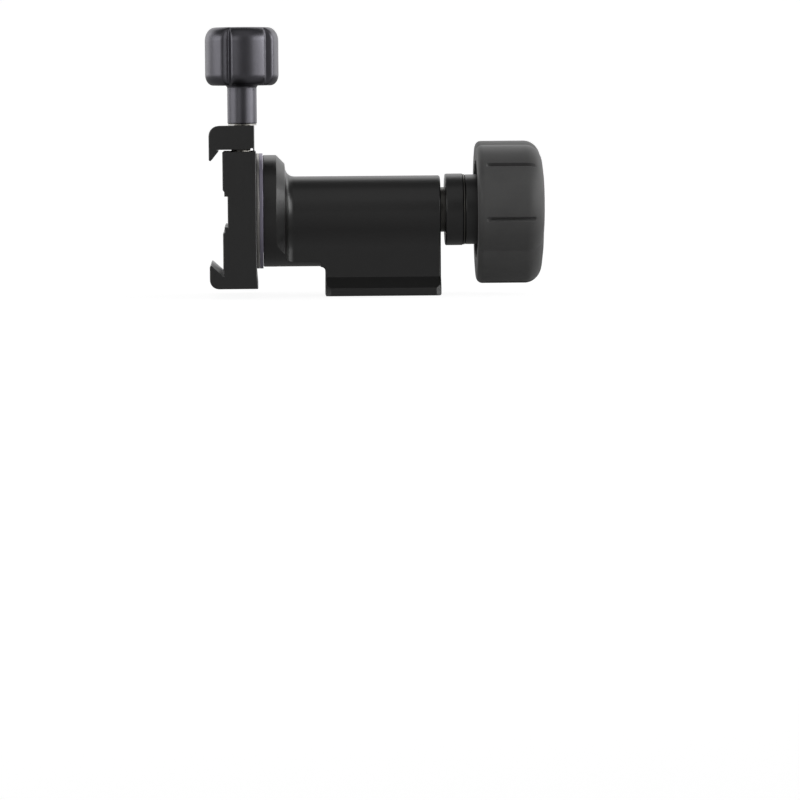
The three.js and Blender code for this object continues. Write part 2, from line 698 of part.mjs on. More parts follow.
// Moving jaw with its guide pins
function jawGeometry() {
  const at = (x, z) => new THREE.Vector2(x, z);
  const rootX = clampFaceX - jawHookRootReach;
  const tipZ = jawBottom - jawHookDrop;
  const outline = [...arc(hookLeftX + jawCornerRadius, jawTop - jawCornerRadius, jawCornerRadius, 180, 90),
    at(jawRightX - clampEdgeBreak, jawTop), at(jawRightX, jawTop - clampEdgeBreak),
    at(jawRightX, clampTop + heelGap), at(jawRightX - heelWidth, clampTop + heelGap),
    at(jawRightX - heelWidth, jawBottom), at(rootX, jawBottom), at(rootX, jawBottom - jawHookStep),
    at(hookLeftX + hookTipWidth, tipZ), at(hookLeftX, tipZ + hookTipWidth)];
  const relief = prismY(arc(jawRightX - heelWidth, jawBottom, reliefRadius, 0, reliefTurn, arcSteps * 2),
    clampLength + overrun);
  const tools = [relief,
    turnedZ(rod(jawBottom - overrun, jawTop + overrun, screwRadius + boltClearance), smallKnobX, 0)];
  for (const side of pinSides) {
    tools.push(turnedZ(rod(jawBottom - overrun, pinTop + seatGap, pinRadius + seatGap), pinX,
      side * pinY));
  }
  return cut(prismY(outline, clampLength), ...tools);
}

piece("clamp_jaw", jawGeometry(), ...black);

// A coil from its bottom to its top whose wire stays inside the two end planes
function springGeometry(y) {
  const coilRadius = springOuterRadius - springWireRadius;
  const low = springBottom + springWireRadius;
  const rise = springLength - springWireRadius * 2;
  const steps = springTurns * springStepsPerTurn;
  const positions = [];
  for (let s = 0; s <= steps; s += 1) {
    const turn = (s / springStepsPerTurn) * Math.PI * 2;
    for (let k = 0; k < springSides; k += 1) {
      const around = (k / springSides) * Math.PI * 2;
      const radius = coilRadius + springWireRadius * Math.cos(around);
      positions.push(pinX + radius * Math.cos(turn), y + radius * Math.sin(turn),
        low + (rise * s) / steps + springWireRadius * Math.sin(around));
    }
  }
  const faces = [];
  for (let s = 0; s < steps; s += 1) {
    for (let k = 0; k < springSides; k += 1) {
      const a = s * springSides + k;
      const b = s * springSides + ((k + 1) % springSides);
      faces.push(a, b + springSides, b, a, a + springSides, b + springSides);
    }
  }
  const last = steps * springSides;
  for (let k = 1; k + 1 < springSides; k += 1) {
    faces.push(0, k, k + 1, last, last + k + 1, last + k);
  }
  const geometry = new THREE.BufferGeometry();
  geometry.setAttribute("position", new THREE.Float32BufferAttribute(positions, 3));
  geometry.setIndex(faces);
  geometry.computeVertexNormals();
  return geometry;
}

// The least gap between points of the wire's middle line that lie a turn or more apart
function leastTurnGap() {
  const rise = springLength - springWireRadius * 2;
  const steps = springTurns * springStepsPerTurn;
  const points = Array.from({ length: steps + 1 }, (_, s) => {
    const turn = (s / springStepsPerTurn) * Math.PI * 2;
    const radius = springOuterRadius - springWireRadius;
    return new THREE.Vector3(radius * Math.cos(turn), radius * Math.sin(turn), (rise * s) / steps);
  });
  const gaps = points.flatMap((point, i) => points.slice(i + springStepsPerTurn)
    .map((other) => other.distanceTo(point) - springWireRadius * 2));
  return Math.min(...gaps);
}

for (const [name, side] of [["front", -1], ["rear", 1]]) {
  const y = side * pinY;
  piece(`guide_pin_${name}`, turnedZ(rodWithBrokenEdges(pinBottom, pinTop, pinRadius, pinEdgeBreak),
    pinX, y), ...steel);
  piece(`jaw_spring_${name}`, springGeometry(y), ...steel);
}
console.log("least gap between the spring's turns:", leastTurnGap());

// Small knob with its stem, the screw pressed into it and its washer
function smallKnobGeometry() {
  const lobed = turnedZ([[smallKnobBottom, 0], [smallKnobBottom, smallKnobRadius - smallKnobLowEdge],
    ...arc(smallKnobBottom + smallKnobLowEdge, smallKnobRadius - smallKnobLowEdge, smallKnobLowEdge, 180, 90,
      arcSteps / 2).map((point) => [point.x, point.y]),
    ...arc(smallKnobTop - smallKnobTopEdge, smallKnobRadius - smallKnobTopEdge, smallKnobTopEdge, 90, 0,
      arcSteps / 2).map((point) => [point.x, point.y]),
    [smallKnobTop, 0]], smallKnobX, 0, roundSides);
  const notches = [];
  for (let lobe = 0; lobe < smallKnobLobes; lobe += 1) {
    const angle = THREE.MathUtils.degToRad(smallKnobFirstLobe - 90 + ((lobe + 0.5) * 360) / smallKnobLobes);
    const reach = smallKnobRadius - smallKnobNotchIn;
    notches.push(turnedZ(rod(smallKnobBottom - overrun, smallKnobTop + overrun, smallKnobNotchRadius),
      smallKnobX + reach * Math.cos(angle), reach * Math.sin(angle)));
  }
  const under = turnedZ(ring(smallKnobBottom - overrun, smallKnobBottom + smallKnobUnderRecess,
    stemRadius + stemFillet, smallKnobUnderRadius), smallKnobX, 0, roundSides);
  const stem = turnedZ([[stemBottom, 0], [stemBottom, stemRadius - stemEdgeBreak],
    [stemBottom + stemEdgeBreak, stemRadius], [smallKnobBottom - stemFillet, stemRadius],
    [smallKnobBottom, stemRadius + stemFillet],
    [smallKnobBottom + smallKnobUnderRecess + overrun, stemRadius + stemFillet],
    [smallKnobBottom + smallKnobUnderRecess + overrun, 0]], smallKnobX, 0, roundSides);
  const bore = turnedZ(rod(stemBottom - overrun, screwTop + seatGap, screwRadius + seatGap), smallKnobX, 0);
  return cut(join(cut(lobed, ...notches, under), stem), bore);
}

piece("clamp_knob", smallKnobGeometry(), ...lavender);
piece("clamp_screw", turnedZ(rodWithBrokenEdges(screwBottom, screwTop, screwRadius, pinEdgeBreak),
  smallKnobX, 0), ...steel);
piece("clamp_washer", turnedZ(ring(washerBottom, washerTop, screwRadius + runningGap, clampWasherRadius),
  smallKnobX, 0, roundSides), ...steel);

export default head;
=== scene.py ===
import math

import bmesh
import bpy
import numpy as np
from mathutils import Matrix, Vector


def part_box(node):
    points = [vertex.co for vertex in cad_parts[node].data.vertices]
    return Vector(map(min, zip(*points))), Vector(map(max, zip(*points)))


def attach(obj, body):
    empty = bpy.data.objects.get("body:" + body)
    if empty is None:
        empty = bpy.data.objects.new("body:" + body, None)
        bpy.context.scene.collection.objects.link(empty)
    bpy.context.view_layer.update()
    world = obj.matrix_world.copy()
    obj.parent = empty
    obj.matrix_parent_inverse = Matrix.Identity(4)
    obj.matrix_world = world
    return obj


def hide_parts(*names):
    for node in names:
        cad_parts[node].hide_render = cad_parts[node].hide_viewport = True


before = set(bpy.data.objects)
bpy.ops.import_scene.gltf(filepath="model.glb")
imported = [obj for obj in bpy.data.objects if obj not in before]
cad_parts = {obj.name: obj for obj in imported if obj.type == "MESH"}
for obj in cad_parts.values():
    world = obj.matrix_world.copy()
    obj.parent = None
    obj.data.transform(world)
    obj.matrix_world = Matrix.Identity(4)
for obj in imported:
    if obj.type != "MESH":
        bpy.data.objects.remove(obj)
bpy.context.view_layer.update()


# Housing
# One aluminium block: a round flange, the barrel that holds the axle, a web below and the foot.
# It is machined all over, blasted and anodised black, which leaves a fine even grain.
housing_low, housing_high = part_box("housing")
axis_height = 0.0265
barrel_radius = 0.0107
flange_radius = housing_high.y
flange_face = housing_low.x
rim_length = 0.0041
chamfer_length = 0.00265
chamfer_depth = 0.0027
flange_step = 0.00015
flange_fillet = 0.0029
rim_edge = 0.0004
block_half = housing_high.x
block_edge = 0.0006
web_half = 0.0071
web_fillet = 0.012
keel_fillet = 0.0016
keel_setback = 0.00002
foot_half = 0.0112
foot_side = 0.0024
foot_slope = 0.0035
foot_edge = 0.0004
foot_corner = 0.0015
head_bore = 0.0134
bearing_bore = 0.0087
socket_bore = 0.00626
socket_depth = 0.012
axle_radius = 0.007
head_right = -0.03311
cutting_overrun = 0.003
round_sides = 96
bore_sides = 64
corner_steps = 5
web_fillet_steps = 14
flange_fillet_steps = 10
same_place = 1e-7
crease_angle = 30


def arc(across, up, radius, start, end, steps=corner_steps):
    """Points of a circle's arc between two angles in degrees, both ends included."""
    angle = np.radians(np.linspace(start, end, steps + 1))
    return np.stack([across + radius * np.cos(angle), up + radius * np.sin(angle)], axis=1)


def rounded(corners, steps=corner_steps):
    """A closed outline in which each corner (across, up, radius) is an arc that touches both its sides.

    The arc's centre lies on the line that halves the corner, and a spoke turns round it evenly from
    the first side's touching point to the second's.
    """
    corners = np.array(corners, float)
    place, radius = corners[:, :2], corners[:, 2:]
    before = np.roll(place, 1, axis=0) - place
    after = np.roll(place, -1, axis=0) - place
    before /= np.linalg.norm(before, axis=1, keepdims=True)
    after /= np.linalg.norm(after, axis=1, keepdims=True)
    inward = (before + after) / np.linalg.norm(before + after, axis=1, keepdims=True)
    half = np.arccos((before * inward).sum(axis=1, keepdims=True))
    first = before / np.tan(half) - inward / np.sin(half)
    last = after / np.tan(half) - inward / np.sin(half)
    turn = (math.pi - 2 * half)[:, None]
    share = np.linspace(0, 1, steps + 1)[None, :, None]
    spoke = np.sin((1 - share) * turn) * first[:, None] + np.sin(share * turn) * last[:, None]
    spoke /= np.sin(turn)
    centre = place + inward * radius / np.sin(half)
    points = centre[:, None] + radius[:, None] * spoke
    kept = (radius > 0) | (np.arange(steps + 1)[None] == 0)
    return points[kept]


def grow(outline, distance):
    """An outline, counter-clockwise, whose sides move outwards by a distance and stay parallel."""
    before = outline - np.roll(outline, 1, axis=0)
    after = np.roll(outline, -1, axis=0) - outline
    before /= np.linalg.norm(before, axis=1, keepdims=True)
    after /= np.linalg.norm(after, axis=1, keepdims=True)
    total = before + after
    normal = np.stack([total[:, 1], -total[:, 0]], axis=1)
    return outline + distance * normal / (1 + (before * after).sum(axis=1, keepdims=True))


def skin(rings, tube=False):
    """Quads between neighbouring rings of places. A tube's last ring meets its first, or both ends close."""
    rows, columns = rings.shape[:2]
    place = np.arange(rows * columns).reshape(rows, columns)
    low = place if tube else place[:-1]
    high = np.roll(place, -1, axis=0) if tube else place[1:]
    quads = np.stack([low, np.roll(low, -1, axis=1), np.roll(high, -1, axis=1), high], axis=2)
    faces = quads.reshape(-1, 4).tolist()
    if not tube:
        faces += [place[0, ::-1].tolist(), place[-1].tolist()]
    return rings.reshape(-1, 3), faces


def loft_x(stations):
    """Rings in the Y-Z plane, each a pair of its place along X and its outline round the tilt axis."""
    return skin(np.array([[(x, y, z + axis_height) for y, z in outline] for x, outline in stations]))


def from_pole(profile):
    """A profile as an array. One that touches its axis is rolled so that it starts and ends there."""
    profile = np.array(profile, float)
    on_axis = profile[:, 1] == 0
    start = np.flatnonzero(on_axis & np.roll(on_axis, 1))
    return np.roll(profile, -start[0], axis=0) if len(start) else profile


def turned_x(profile, sides=round_sides):
    """A profile of places along X and radii, swept round the tilt axis."""
    profile = from_pole(profile)
    angle = np.arange(sides) * 2 * math.pi / sides
    along, radius = profile[:, :1], profile[:, 1:]
    around, up = radius * np.cos(angle), axis_height + radius * np.sin(angle)
    rings = np.stack([along + 0 * angle, around, up], axis=2)
    return skin(rings, tube=bool(profile[:, 1].min() > 0))


def turned_z(profile, x, y, sides=bore_sides):
    """A profile of heights and radii, swept round an upright line."""
    profile = from_pole(profile)
    angle = np.arange(sides) * 2 * math.pi / sides
    up, radius = profile[:, :1], profile[:, 1:]
    rings = np.stack([x + radius * np.cos(angle), y + radius * np.sin(angle), up + 0 * angle], axis=2)
    return skin(rings, tube=bool(profile[:, 1].min() > 0))


def solid(name, shape):
    """A mesh object of one closed skin, its poles merged and its faces turned outwards."""
    mesh = bpy.data.meshes.new(name)
    mesh.from_pydata(shape[0].tolist(), [], shape[1])
    merged(mesh)
    made = bpy.data.objects.new(name, mesh)
    bpy.context.scene.collection.objects.link(made)
    return made


def merged(mesh):
    """The mesh with places that coincide made one, and its faces turned outwards."""
    work = bmesh.new()
    work.from_mesh(mesh)
    bmesh.ops.remove_doubles(work, verts=work.verts, dist=same_place)
    bmesh.ops.dissolve_degenerate(work, edges=work.edges, dist=same_place)
    bmesh.ops.recalc_face_normals(work, faces=work.faces)
    work.to_mesh(mesh)
    work.free()


def carved(base, operation, others):
    """The base joined with other solids, or cut or bounded by them. The others are used up."""
    together = bpy.data.collections.new(base.name)
    for other in others:
        together.objects.link(other)
    step = base.modifiers.new(operation, "BOOLEAN")
    step.operation = operation
    step.operand_type = "COLLECTION"
    step.collection = together
    step.solver = "EXACT"
    applied(base)
    merged(base.data)
    bpy.data.collections.remove(together)
    for other in others:
        bpy.data.objects.remove(other)
    return base


def applied(made):
    """The piece with its modifiers worked into its mesh."""
    evaluated = made.evaluated_get(bpy.context.evaluated_depsgraph_get())
    mesh = bpy.data.meshes.new_from_object(evaluated)
    mesh.name = made.name
    made.modifiers.clear()
    made.data = mesh


def finished(made, body, material, slot, *nodes):
    """The piece smooth but for its creases, on its body, with its finish and the nodes that it stands for."""
    made.data.materials.clear()
    made.data.materials.append(material)
    made.data.shade_smooth()
    made.data.set_sharp_from_angle(angle=math.radians(crease_angle))
    even = made.modifiers.new("even", "WEIGHTED_NORMAL")
    even.keep_sharp = True
    applied(made)
    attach(made, body)
    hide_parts(*nodes)
    return made


def group(name, inputs, outputs):
    """A node group with named inputs (socket type, name, value) and outputs (socket type, name)."""
    tree = bpy.data.node_groups.new(name, "ShaderNodeTree")
    for kind, label, value in inputs:
        tree.interface.new_socket(label, in_out="INPUT", socket_type=kind).default_value = value
    for kind, label in outputs:
        tree.interface.new_socket(label, in_out="OUTPUT", socket_type=kind)
    return tree, tree.nodes.new("NodeGroupInput"), tree.nodes.new("NodeGroupOutput")


def node(tree, kind, links=None, **settings):
    """A node of a tree with its settings, and its inputs set to a value or linked from a socket."""
    made = tree.nodes.new(kind)
    for name, value in settings.items():
        setattr(made, name, value)
    for name, value in (links or {}).items():
        if isinstance(value, bpy.types.NodeSocket):
            tree.links.new(value, made.inputs[name])
        else:
            made.inputs[name].default_value = value
    return made


def edge_wear():
    """How far the rounded normal departs from the true one, broken up by noise: 1 on worn edges."""
    tree, given, put = group("edge wear",
        [("NodeSocketFloat", "Radius", 0.0003), ("NodeSocketFloat", "Amount", 1.0)],
        [("NodeSocketFloat", "Mask"), ("NodeSocketVector", "Normal")])
    place = node(tree, "ShaderNodeTexCoord").outputs["Object"]
    bevel = node(tree, "ShaderNodeBevel", {"Radius": given.outputs["Radius"]}, samples=6)
    true_normal = node(tree, "ShaderNodeNewGeometry").outputs["Normal"]
    alike = node(tree, "ShaderNodeVectorMath", {0: bevel.outputs[0], 1: true_normal}, operation="DOT_PRODUCT")
    apart = node(tree, "ShaderNodeMapRange",
        {"Value": alike.outputs["Value"], "From Min": 1.0, "From Max": 0.9}, clamp=True)
    noise = node(tree, "ShaderNodeTexNoise", {"Vector": place, "Scale": 900.0, "Detail": 4.0})
    broken = node(tree, "ShaderNodeMapRange",
        {"Value": noise.outputs["Fac"], "From Min": 0.42, "From Max": 0.62, "To Min": 0.25}, clamp=True)
    worn = node(tree, "ShaderNodeMath", {0: apart.outputs[0], 1: broken.outputs[0]}, operation="MULTIPLY")
    scaled = node(tree, "ShaderNodeMath", {0: worn.outputs[0], 1: given.outputs["Amount"]},
        operation="MULTIPLY", use_clamp=True)
    tree.links.new(scaled.outputs[0], put.inputs["Mask"])
    tree.links.new(bevel.outputs[0], put.inputs["Normal"])
    return tree


def fine_grain():
    """Two sizes of noise on the object: a fine even grain for bump and gloss, and broad clouds for tone."""
    tree, given, put = group("fine grain",
        [("NodeSocketFloat", "Scale", 5000.0), ("NodeSocketFloat", "Clouds", 60.0)],
        [("NodeSocketFloat", "Grain"), ("NodeSocketFloat", "Cloud")])
    place = node(tree, "ShaderNodeTexCoord").outputs["Object"]
    grain = node(tree, "ShaderNodeTexNoise",
        {"Vector": place, "Scale": given.outputs["Scale"], "Detail": 2.0, "Roughness": 0.6})
    cloud = node(tree, "ShaderNodeTexNoise",
        {"Vector": place, "Scale": given.outputs["Clouds"], "Detail": 5.0, "Roughness": 0.65})
    tree.links.new(grain.outputs["Fac"], put.inputs["Grain"])
    tree.links.new(cloud.outputs["Fac"], put.inputs["Cloud"])
    return tree


edge_wear_group = edge_wear()
fine_grain_group = fine_grain()


def spread(tree, noise, low, high):
    """A noise's usual range, stretched in a straight line to run from low to high."""
    return node(tree, "ShaderNodeMapRange",
        {"Value": noise, "From Min": 0.3, "From Max": 0.7, "To Min": low, "To Max": high}).outputs["Result"]


def clouded(tree, color, cloud, high):
    """A colour multiplied by broad clouds of darker and lighter tone."""
    return node(tree, "ShaderNodeMix",
        {"Factor": 1.0, "A": (*color, 1), "B": spread(tree, cloud, 0.88, high)},
        data_type="RGBA", blend_type="MULTIPLY").outputs["Result"]


def blasted(name, color, worn_color, roughness, metallic=0.0, grain_scale=5000.0, bump=0.25, wear=0.5,
        wear_radius=0.00025, specular=0.5, sheen=0.0):
    """A blasted or moulded finish: grain in gloss and height, clouds in tone, and paler worn edges."""
    material = bpy.data.materials.new(name)
    material.use_nodes = True
    tree = material.node_tree
    shader = tree.nodes["Principled BSDF"]
    shader.inputs["Metallic"].default_value = metallic
    shader.inputs["Specular IOR Level"].default_value = specular
    shader.inputs["Sheen Weight"].default_value = sheen
    worn = node(tree, "ShaderNodeGroup", node_tree=edge_wear_group)
    worn.inputs["Radius"].default_value = wear_radius
    worn.inputs["Amount"].default_value = wear
    noise = node(tree, "ShaderNodeGroup", node_tree=fine_grain_group)
    noise.inputs["Scale"].default_value = grain_scale
    plain = clouded(tree, color, noise.outputs["Cloud"], 1.12)
    mixed = node(tree, "ShaderNodeMix",
        {"Factor": worn.outputs["Mask"], "A": plain, "B": (*worn_color, 1)}, data_type="RGBA")
    tree.links.new(mixed.outputs["Result"], shader.inputs["Base Color"])
    gloss = spread(tree, noise.outputs["Grain"], roughness - 0.05, roughness + 0.05)
    tree.links.new(gloss, shader.inputs["Roughness"])
    height = node(tree, "ShaderNodeBump", {"Strength": bump, "Distance": 0.00004,
        "Height": noise.outputs["Grain"], "Normal": worn.outputs["Normal"]})
    tree.links.new(height.outputs[0], shader.inputs["Normal"])
    return material


black_anodised = blasted("blasted_black", (0.01, 0.01, 0.0098), (0.1, 0.099, 0.095), 0.33,
    bump=0.15, wear=0.4, specular=0.95)


def barrel_and_web(bottom):
    """The barrel's circle, run into the web's two upright sides by fillets, down to a height."""
    reach = web_half + web_fillet
    drop = math.sqrt((barrel_radius + web_fillet) ** 2 - reach ** 2)
    tangent = math.degrees(math.atan2(drop, reach))
    right = arc(reach, -drop, web_fillet, 180, 180 - tangent, web_fillet_steps)
    top = arc(0, 0, barrel_radius, -tangent, 180 + tangent, round_sides // 2)
    left = arc(-reach, -drop, web_fillet, tangent, 0, web_fillet_steps)
    return np.concatenate([[(web_half, bottom)], right, top[1:-1], left, [(-web_half, bottom)]])


def flange_neck():
    """The web's outline, grown by a fillet's arc and then a straight chamfer, and kept inside the rim."""
    web = barrel_and_web(-flange_radius - cutting_overrun)
    rim_right = flange_face + rim_length
    chamfer_right = rim_right + chamfer_length
    rise = flange_radius - barrel_radius
    left = flange_face + rim_edge
    slope = chamfer_depth / chamfer_length
    stations = [(left, rise + (rim_right - left) * slope), (chamfer_right, rise - chamfer_depth)]
    fillet = arc(flange_fillet, flange_fillet, flange_fillet, 180, 270, flange_fillet_steps)
    stations += [(chamfer_right + flange_step + along, off) for along, off in fillet]
    stations += [(-block_half, 0), (cutting_overrun - block_half, -block_edge)]
    neck = solid("neck", loft_x([(x, grow(web, off)) for x, off in stations]))
    inside = flange_radius - keel_setback
    sleeve = turned_x([(flange_face, 0), (0, 0), (0, inside), (flange_face, inside)])
    return carved(neck, "INTERSECT", [solid("sleeve", sleeve)])


def flange_rim():
    """The flange's rim, a disc whose front edge is an arc."""
    rim_right = flange_face + rim_length
    front_edge = arc(flange_face + rim_edge, flange_radius - rim_edge, rim_edge, 180, 90)
    return solid("rim", turned_x([(flange_face, 0), *front_edge, (rim_right, flange_radius), (rim_right, 0)]))


def block_with_foot():
    """The outline of barrel, web and foot, carried along X and drawn in along an arc at its right end."""
    right = np.array([(foot_half - foot_edge, 0), (foot_half, foot_edge), (foot_half, foot_side)])
    right -= (0, axis_height)
    above = barrel_and_web(foot_side + foot_slope - axis_height)
    outline = np.concatenate([right, above, (right * (-1, 1))[::-1]])
    stations = [(-block_half, outline)]
    for along, off in arc(-block_edge, 0, block_edge, 0, 90)[::-1]:
        ring = grow(outline, off - block_edge)
        ring[:, 1] = np.maximum(ring[:, 1], -axis_height)
        stations.append((block_half + along, ring))
    return solid("housing_body", loft_x(stations))


def keel_corner():
    """The hollow fillet between the neck's underside and the web, an outline in X and Z carried along Y."""
    bottom = -flange_radius
    hollow = arc(-block_half - keel_fillet, bottom - keel_fillet, keel_fillet, 90, 0)
    inner = cutting_overrun - block_half
    outline = [(inner, bottom + keel_fillet), (-block_half - keel_fillet, bottom + keel_fillet),
        *hollow, (inner, bottom - keel_fillet)]
    half = web_half - keel_setback
    rings = [[(x, y, z + axis_height) for x, z in outline] for y in (-half, half)]
    return solid("corner", skin(np.array(rings)))


def foot_corner_tools():
    """Four upright cutters that take a slant off the foot's corners."""
    top = foot_side + foot_slope + cutting_overrun
    tools = []
    for side_x in (-1, 1):
        for side_y in (-1, 1):
            x, y = side_x * block_half, side_y * foot_half
            past_x, past_y = x + side_x * cutting_overrun, y + side_y * cutting_overrun
            start, end = x - side_x * foot_corner, y - side_y * foot_corner
            shape = [(start, y), (x, end), (past_x, end), (past_x, past_y), (start, past_y)]
            rings = [[(a, b, z) for a, b in shape] for z in (-cutting_overrun, top)]
            tools.append(solid("corner_tool", skin(np.array(rings))))
    return tools


def housing_bores():
    """Turned cutters for the axle's head, the axle's bearing and the threaded insert, with broken edges."""
    front = flange_face - cutting_overrun
    end = block_half + cutting_overrun
    bearing_left = head_right - rim_edge
    head = [(front, 0), (head_right, 0), (head_right, head_bore), (flange_face + rim_edge, head_bore),
        (flange_face, head_bore + rim_edge), (front, head_bore + rim_edge)]
    bearing = [(bearing_left, 0), (end, 0), (end, bearing_bore + rim_edge),
        (block_half, bearing_bore + rim_edge), (block_half - rim_edge, bearing_bore),
        (bearing_left, bearing_bore)]
    mouth = socket_bore + foot_edge
    socket = [(-cutting_overrun, 0), (socket_depth, 0), (socket_depth, socket_bore),
        (foot_edge, socket_bore), (0, mouth), (-cutting_overrun, mouth)]
    return [solid("head_bore", turned_x(head)), solid("bearing_bore", turned_x(bearing, bore_sides)),
        solid("socket", turned_z(socket, 0, 0))]


def housing_solid():
    """Block, neck, rim and keel joined, then bored and its foot's corners cut."""
    joined = carved(block_with_foot(), "UNION", [flange_neck(), flange_rim(), keel_corner()])
    return carved(joined, "DIFFERENCE", foot_corner_tools() + housing_bores())


finished(housing_solid(), "housing", black_anodised, "black_anodised", "housing")


# Bushes and threaded insert
# Two sintered bronze bushes carry the axle, and a steel insert in the foot takes the tripod's stud.
# All three are pressed in, so only their end faces show.
def machined(name, color, roughness, ring_scale=2500.0, bump=0.15, metallic=1.0, along="x"):
    """A turned finish: grooves of uneven depth across the turning axis, clouds in tone, and soft edges."""
    material = bpy.data.materials.new(name)
    material.use_nodes = True
    tree = material.node_tree
    shader = tree.nodes["Principled BSDF"]
    shader.inputs["Metallic"].default_value = metallic
    place = node(tree, "ShaderNodeTexCoord").outputs["Object"]
    across = 0.01
    squeeze = {"x": (1, across, across), "z": (across, across, 1)}[along]
    along_axis = node(tree, "ShaderNodeMapping", {"Vector": place, "Scale": squeeze})
    rings = node(tree, "ShaderNodeTexNoise",
        {"Vector": along_axis.outputs[0], "Scale": ring_scale, "Detail": 3.0, "Roughness": 0.7})
    edges = node(tree, "ShaderNodeGroup", node_tree=edge_wear_group)
    edges.inputs["Radius"].default_value = 0.0002
    noise = node(tree, "ShaderNodeGroup", node_tree=fine_grain_group)
    tree.links.new(clouded(tree, color, noise.outputs["Cloud"], 1.1), shader.inputs["Base Color"])
    gloss = spread(tree, rings.outputs["Fac"], roughness - 0.06, roughness + 0.06)
    tree.links.new(gloss, shader.inputs["Roughness"])
    height = node(tree, "ShaderNodeBump", {"Strength": bump, "Distance": 0.00003,
        "Height": rings.outputs["Fac"], "Normal": edges.outputs["Normal"]})
    tree.links.new(height.outputs[0], shader.inputs["Normal"])
    return material


def dressed(material, *names):
    """CAD nodes that stay as they are, with a finish of their own."""
    for name in names:
        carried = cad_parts[name]
        for place in carried.material_slots:
            place.material = material


bronze = machined("sintered_bronze", (0.42, 0.24, 0.1), 0.45)
upright_steel = machined("upright_steel", (0.5, 0.48, 0.44), 0.3, along="z")
dressed(bronze, "front_bush", "rear_bush")
dressed(upright_steel, "base_insert")


# Axle
# Turned steel: the thin plate against the clamp, a wide head in the flange, the journal and the
# threaded end for the large knob. The bare neck shows between the housing and the collar.
axle_low, axle_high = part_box("axle")
plate_reach = 0.00008
plate_thickness = 0.00085
plate_left = axle_low.x - plate_reach
plate_right = axle_low.x + plate_thickness
plate_radius = axle_high.y
axle_right = axle_high.x
head_radius = 0.013
head_length = 0.005
axle_head_right = plate_right + head_length
journal_right = 0.02415
thread_radius = 0.006
plate_edge = 0.00015

dark_steel = machined("dark_steel", (0.12, 0.118, 0.11), 0.34, ring_scale=3500.0, bump=0.1)
axle_profile = [(plate_left, 0), (plate_left, plate_radius - plate_edge),
    (plate_left + plate_edge, plate_radius), (plate_right - plate_edge, plate_radius),
    (plate_right, plate_radius - plate_edge), (plate_right, head_radius), (axle_head_right, head_radius),
    (axle_head_right, axle_radius), (journal_right, axle_radius), (journal_right, thread_radius),
    (axle_right - plate_edge, thread_radius), (axle_right, thread_radius - plate_edge), (axle_right, 0)]
shaft = finished(solid("axle_shaft", turned_x(axle_profile)), "axle", dark_steel, "steel", "axle")
shaft.data.materials.append(machined("plate_steel", (0.55, 0.54, 0.52), 0.42, bump=0.1))
for face in shaft.data.polygons:
    face.material_index = int(face.center.x < plate_right)
dressed(dark_steel, "collar_key")


# Friction ring
# A thin aluminium ring, anodised lavender grey, held between the axle's plate and the flange.
plate_gap = 0.00002
flange_gap = 0.00005
ring_left = plate_right + plate_gap
ring_right = flange_face - flange_gap
ring_inner = 0.0134
ring_edge = 0.0001
thin_edge_steps = 3

ring_grey = machined("ring_grey", (0.5, 0.47, 0.59), 0.45, metallic=0.5)
ring_profile = rounded([(ring_left, ring_inner, ring_edge), (ring_right, ring_inner, ring_edge),
    (ring_right, plate_radius, ring_edge), (ring_left, plate_radius, ring_edge)], thin_edge_steps)
finished(solid("friction_disc", turned_x(ring_profile)), "axle", ring_grey, "grey_anodised", "friction_ring")


# Lock collar and thrust washer
# The black collar slides on the axle's key and presses on the housing when the knob is screwed in.
# A thin steel washer lies between it and the knob's hub.
collar_low, collar_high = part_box("lock_collar")
collar_bore = 0.0071
collar_edge = 0.0004
washer_low, washer_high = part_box("thrust_washer")
washer_edge = 0.00012
sleeve_edge_steps = 4

collar_profile = rounded([(collar_low.x, collar_bore, collar_edge / 2),
    (collar_high.x, collar_bore, collar_edge / 2),
    (collar_high.x, collar_high.y, collar_edge / 2),
    (collar_low.x, collar_high.y, collar_edge)], sleeve_edge_steps)
finished(solid("collar_sleeve", turned_x(collar_profile)), "lock_collar", black_anodised, "black_anodised",
    "lock_collar")
washer_profile = rounded([(washer_low.x, collar_bore, washer_edge), (washer_high.x, collar_bore, washer_edge),
    (washer_high.x, washer_high.y, washer_edge), (washer_low.x, washer_high.y, washer_edge)], thin_edge_steps)
finished(solid("thrust_disc", turned_x(washer_profile)), "lock_collar", dark_steel, "steel", "thrust_washer")


# Large knob
# A black metal hub runs on the axle's thread. The rubber grip moulded round it has three broad lobes
# with two grooves each, and a plastic cap closes its front.
hub_low, hub_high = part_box("knob_hub")
hub_radius = 0.0109
hub_recess = 0.009
hub_recess_depth = 0.0079
hub_edge = 0.0003
grip_low, grip_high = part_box("knob_grip")
grip_back_trim = 0.0004
grip_left = grip_low.x + grip_back_trim
lobe_radius = 0.0182
lobe_offset = 0.005
lobe_count = 3
first_lobe = -21.5
grip_back_inset = 0.0019
grip_back_curve = 0.0019
grip_front_curve = 0.0052
grip_front_inset = 0.0058
grip_dome = 0.0004
grip_dome_inset = 0.0086
grip_recess = 0.0153
grip_recess_depth = 0.0025
groove_width = 0.0013
groove_depth = 0.0019
groove_angle = 22.5
groove_turn = 6.2
groove_start = 0.0031
groove_length = 0.015
cap_low, cap_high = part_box("knob_cap")
cap_crown = 0.0003
cap_edge = 0.0003
hub_gap = 0.00003
cap_gap = 0.00015
knob_sides = 720
grip_back_steps = 8
grip_front_end = 10
grip_front_steps = 14
grip_rings = 40

rubber = blasted("moulded_rubber", (0.098, 0.098, 0.097), (0.13, 0.13, 0.13), 0.55, grain_scale=4000.0,
    bump=0.35, wear=0.25, wear_radius=0.0004, sheen=0.2)
cap_plastic = blasted("cap_plastic", (0.035, 0.035, 0.035), (0.07, 0.07, 0.07), 0.5, bump=0.25, wear=0.3)


